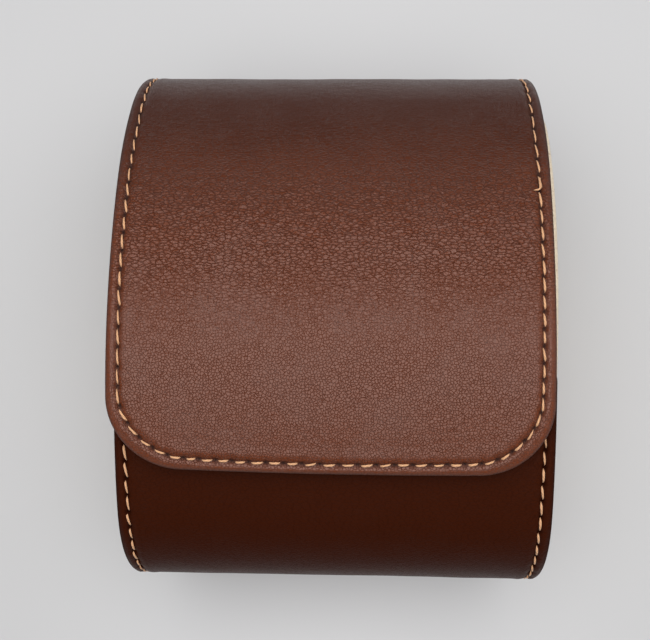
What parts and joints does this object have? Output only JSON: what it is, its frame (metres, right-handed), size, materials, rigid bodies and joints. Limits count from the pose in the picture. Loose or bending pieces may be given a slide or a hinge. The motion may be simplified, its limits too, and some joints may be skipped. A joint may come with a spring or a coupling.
{
  "type": "watch travel case",
  "caption": "Oval leather travel case for a watch, with a press-fastened flap, a sliding suede sleeve and a watch pillow.",
  "frame": {"origin": "centre of the flat back face that the case lies on", "axes": "+X along the tube, towards the end where the sleeve stands proud; +Y towards the flap's hinge; +Z out of the back towards the crown of the front"},
  "size_m": [0.0765, 0.0975, 0.0631],
  "materials": {
    "brown_leather": "satin",
    "cream_suede": "matte",
    "card": "matte",
    "foam": "matte",
    "thread": "satin",
    "snap_brass": "satin",
    "spring_steel": "brushed",
    "spring_plate": "matte"
  },
  "bodies": {
    "shell": {"shell_leather": "brown_leather", "shell_board": "card", "shell_lining": "cream_suede", "top_wall_cover": "brown_leather", "shell_seam_left": "thread", "shell_seam_right": "thread", "front_edge_seam": "thread", "snap_stud": "snap_brass", "snap_post": "snap_brass"},
    "flap": {"flap_leather": "brown_leather", "flap_foam": "foam", "flap_board": "card", "flap_lining": "cream_suede", "flap_seam": "thread", "snap_socket": "snap_brass", "snap_spring": "spring_steel", "snap_cap": "snap_brass"},
    "sleeve": {"sleeve_board": "card", "sleeve_outer_suede": "cream_suede", "sleeve_inner_suede": "cream_suede"},
    "pillow": {"pillow_cover": "cream_suede", "pillow_end_left": "cream_suede", "pillow_end_right": "cream_suede", "pillow_foam_front": "foam", "pillow_foam_back": "foam", "pillow_spring_plate": "spring_plate"}
  },
  "joints": [
    {"name": "flap_hinge", "type": "hinge", "parent": "shell", "child": "flap", "pos_m": [0, 0.05035, 0.03], "axis": [-1, 0, 0], "range_deg": [0, 150]},
    {"name": "sleeve_slide", "type": "slide", "parent": "shell", "child": "sleeve", "axis": [1, 0, 0], "range_m": [-0.08, 0.08]},
    {"name": "pillow_slide", "type": "slide", "parent": "sleeve", "child": "pillow", "axis": [1, 0, 0], "range_m": [-0.07, 0.07]}
  ]
}
